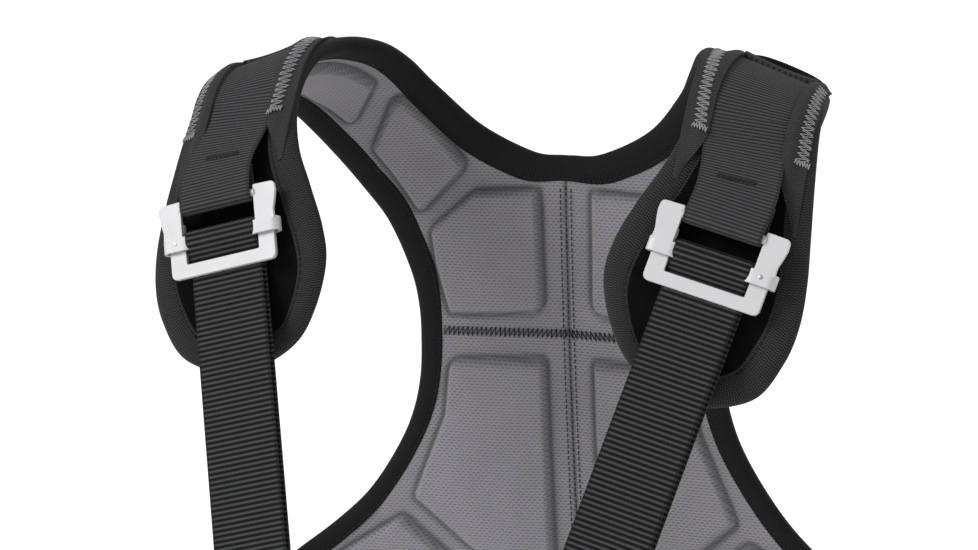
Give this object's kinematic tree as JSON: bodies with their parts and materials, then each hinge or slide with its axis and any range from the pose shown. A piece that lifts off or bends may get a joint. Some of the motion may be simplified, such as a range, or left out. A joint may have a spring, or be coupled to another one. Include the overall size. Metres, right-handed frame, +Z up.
{
  "type": "harness shoulder yoke",
  "caption": "Padded shoulder and back yoke of a body harness, with webbing, two-part metal double-back buckles, hanging front straps and a back ring.",
  "frame": {"origin": "in the symmetry plane, level with the middle of both shoulder straps' crests, 149 mm from each", "axes": "+X towards the wearer's left, +Y towards the wearer's back, +Z up"},
  "size_m": [0.4746, 0.3081, 0.4332],
  "materials": {
    "foam": "closed-cell foam",
    "cover": "woven cover, matt",
    "mesh_lining": "spacer mesh, matt",
    "binding": "knitted edge binding",
    "fleece": "brushed fleece",
    "webbing": "ribbed woven webbing",
    "thread": "sewing thread",
    "buckle_metal": "satin",
    "rivet_metal": "satin",
    "ring_metal": "satin",
    "plate": "moulded, fine grain"
  },
  "bodies": {
    "yoke": {"foam_core_left": "foam", "foam_core_right": "foam", "outer_cover_left": "cover", "outer_cover_right": "cover", "lining_upper_left": "mesh_lining", "lining_upper_right": "mesh_lining", "lining_lower_left": "mesh_lining", "lining_lower_right": "mesh_lining", "neck_binding": "binding", "armhole_binding_left": "binding", "armhole_binding_right": "binding", "hem_binding": "binding", "pillow_upper_left": "mesh_lining", "pillow_upper_right": "mesh_lining", "pillow_lower_left": "mesh_lining", "pillow_lower_right": "mesh_lining", "pillow_arm_left": "mesh_lining", "pillow_arm_right": "mesh_lining", "pillow_crest_left": "mesh_lining", "pillow_crest_right": "mesh_lining", "pillow_side_left": "mesh_lining", "pillow_side_right": "mesh_lining", "pillow_front_left": "mesh_lining", "pillow_front_right": "mesh_lining", "front_panel_left": "fleece", "front_panel_right": "fleece", "shoulder_webbing_left": "webbing", "shoulder_webbing_right": "webbing", "flap_inner_left": "cover", "flap_inner_right": "cover", "flap_outer_left": "cover", "flap_outer_right": "cover", "crest_band_left": "cover", "crest_band_right": "cover", "crest_roll_left": "fleece", "crest_roll_right": "fleece", "bartack_left": "thread", "bartack_right": "thread", "side_webbing_left": "webbing", "side_webbing_right": "webbing", "dorsal_plate": "plate", "ring_keeper": "webbing"},
    "buckle_frame_left": {"buckle_frame_left": "buckle_metal", "buckle_rivet_left": "rivet_metal"},
    "buckle_slider_left": {"buckle_slider_left": "buckle_metal"},
    "front_strap_left": {"front_strap_left": "webbing"},
    "buckle_frame_right": {"buckle_frame_right": "buckle_metal", "buckle_rivet_right": "rivet_metal"},
    "buckle_slider_right": {"buckle_slider_right": "buckle_metal"},
    "front_strap_right": {"front_strap_right": "webbing"},
    "dorsal_ring": {"dorsal_ring": "ring_metal"}
  },
  "joints": [
    {"name": "buckle_swing_left", "type": "hinge", "parent": "yoke", "child": "buckle_frame_left", "pos_m": [0.149, -0.081, -0.067], "axis": [0.9659, 0, -0.2588], "range_deg": [-25, 0]},
    {"name": "buckle_slip_left", "type": "slide", "parent": "buckle_frame_left", "child": "buckle_slider_left", "axis": [-0.2424, -0.3502, -0.9048], "range_m": [0, 0.004]},
    {"name": "strap_swing_left", "type": "hinge", "parent": "buckle_slider_left", "child": "front_strap_left", "pos_m": [0.14462, -0.08424, -0.08336], "axis": [0.9659, 0, -0.2588], "range_deg": [0, 4]},
    {"name": "buckle_swing_right", "type": "hinge", "parent": "yoke", "child": "buckle_frame_right", "pos_m": [-0.149, -0.081, -0.067], "axis": [0.9659, 0, 0.2588], "range_deg": [-25, 0]},
    {"name": "buckle_slip_right", "type": "slide", "parent": "buckle_frame_right", "child": "buckle_slider_right", "axis": [0.2424, -0.3502, -0.9048], "range_m": [0, 0.004]},
    {"name": "strap_swing_right", "type": "hinge", "parent": "buckle_slider_right", "child": "front_strap_right", "pos_m": [-0.14462, -0.08424, -0.08336], "axis": [0.9659, 0, 0.2588], "range_deg": [0, 4]},
    {"name": "ring_swing", "type": "hinge", "parent": "yoke", "child": "dorsal_ring", "pos_m": [0, 0.11006, -0.13568], "axis": [1, 0, 0], "range_deg": [0, 150]}
  ]
}
